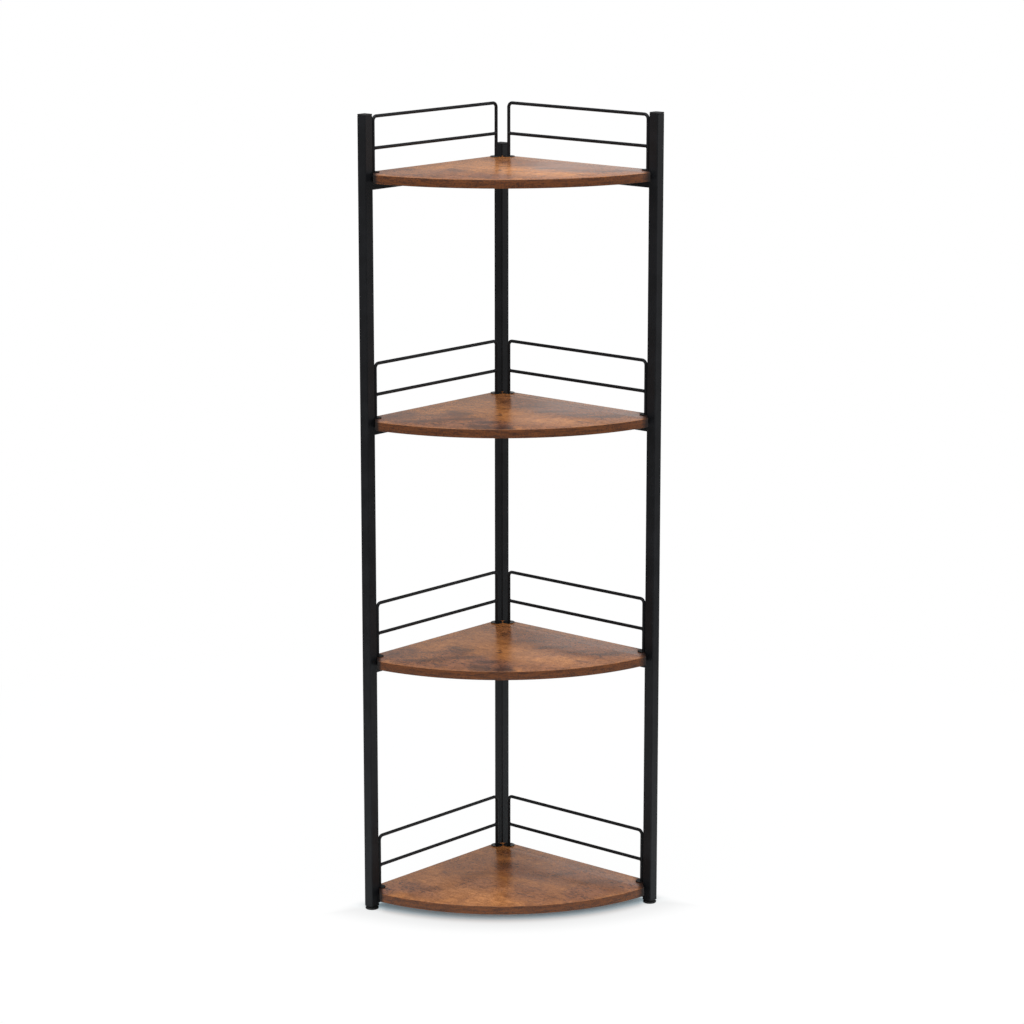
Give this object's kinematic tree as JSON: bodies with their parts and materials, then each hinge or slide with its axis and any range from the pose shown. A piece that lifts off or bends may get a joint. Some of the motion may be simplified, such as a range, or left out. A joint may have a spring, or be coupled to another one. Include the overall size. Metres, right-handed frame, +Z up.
{
  "type": "corner shelf unit",
  "caption": "Open corner shelf unit of black square-tube posts and crossbars, with quarter-round rustic wood boards, wire guard rails and levelling feet.",
  "frame": {"origin": "On the floor, at the centre of the back foot's face, on the back post's axis.", "axes": "+Z up along the posts. +X runs along the right wall side from the back post to the right front post, and -Y along the left wall side to the left front post."},
  "size_m": [0.3036, 0.3037, 1.1244],
  "materials": {
    "post_steel": "satin black powder coat",
    "bar_steel": "satin black powder coat",
    "rail_steel": "satin black powder coat",
    "board_laminate": "semi-gloss rustic brown wood-pattern laminate with dark blotches and streaks",
    "collar_plastic": "black, moulded",
    "cap_plastic": "black, moulded",
    "insert_plastic": "black, moulded",
    "foot_plastic": "black, moulded",
    "screw_zinc": "zinc plated"
  },
  "bodies": {
    "frame": {"back_post": "post_steel", "back_top_cap": "cap_plastic", "back_foot_insert": "insert_plastic", "left_post": "post_steel", "left_top_cap": "cap_plastic", "left_foot_insert": "insert_plastic", "right_post": "post_steel", "right_top_cap": "cap_plastic", "right_foot_insert": "insert_plastic", "shelf_board_1": "board_laminate", "left_bar_1": "bar_steel", "left_guard_rail_1": "rail_steel", "left_rear_collar_1": "collar_plastic", "left_front_collar_1": "collar_plastic", "left_board_screw_1": "screw_zinc", "right_bar_1": "bar_steel", "right_guard_rail_1": "rail_steel", "right_rear_collar_1": "collar_plastic", "right_front_collar_1": "collar_plastic", "right_board_screw_1": "screw_zinc", "shelf_board_2": "board_laminate", "left_bar_2": "bar_steel", "left_guard_rail_2": "rail_steel", "left_rear_collar_2": "collar_plastic", "left_front_collar_2": "collar_plastic", "left_board_screw_2": "screw_zinc", "right_bar_2": "bar_steel", "right_guard_rail_2": "rail_steel", "right_rear_collar_2": "collar_plastic", "right_front_collar_2": "collar_plastic", "right_board_screw_2": "screw_zinc", "shelf_board_3": "board_laminate", "left_bar_3": "bar_steel", "left_guard_rail_3": "rail_steel", "left_rear_collar_3": "collar_plastic", "left_front_collar_3": "collar_plastic", "left_board_screw_3": "screw_zinc", "right_bar_3": "bar_steel", "right_guard_rail_3": "rail_steel", "right_rear_collar_3": "collar_plastic", "right_front_collar_3": "collar_plastic", "right_board_screw_3": "screw_zinc", "shelf_board_4": "board_laminate", "left_bar_4": "bar_steel", "left_guard_rail_4": "rail_steel", "left_rear_collar_4": "collar_plastic", "left_front_collar_4": "collar_plastic", "left_board_screw_4": "screw_zinc", "right_bar_4": "bar_steel", "right_guard_rail_4": "rail_steel", "right_rear_collar_4": "collar_plastic", "right_front_collar_4": "collar_plastic", "right_board_screw_4": "screw_zinc"},
    "back_foot_assembly": {"back_foot": "foot_plastic"},
    "left_foot_assembly": {"left_foot": "foot_plastic"},
    "right_foot_assembly": {"right_foot": "foot_plastic"}
  },
  "joints": [
    {"name": "back_foot_levelling", "type": "slide", "parent": "frame", "child": "back_foot_assembly", "axis": [0, 0, -1], "range_m": [0, 0.01]},
    {"name": "left_foot_levelling", "type": "slide", "parent": "frame", "child": "left_foot_assembly", "axis": [0, 0, -1], "range_m": [0, 0.01]},
    {"name": "right_foot_levelling", "type": "slide", "parent": "frame", "child": "right_foot_assembly", "axis": [0, 0, -1], "range_m": [0, 0.01]}
  ]
}
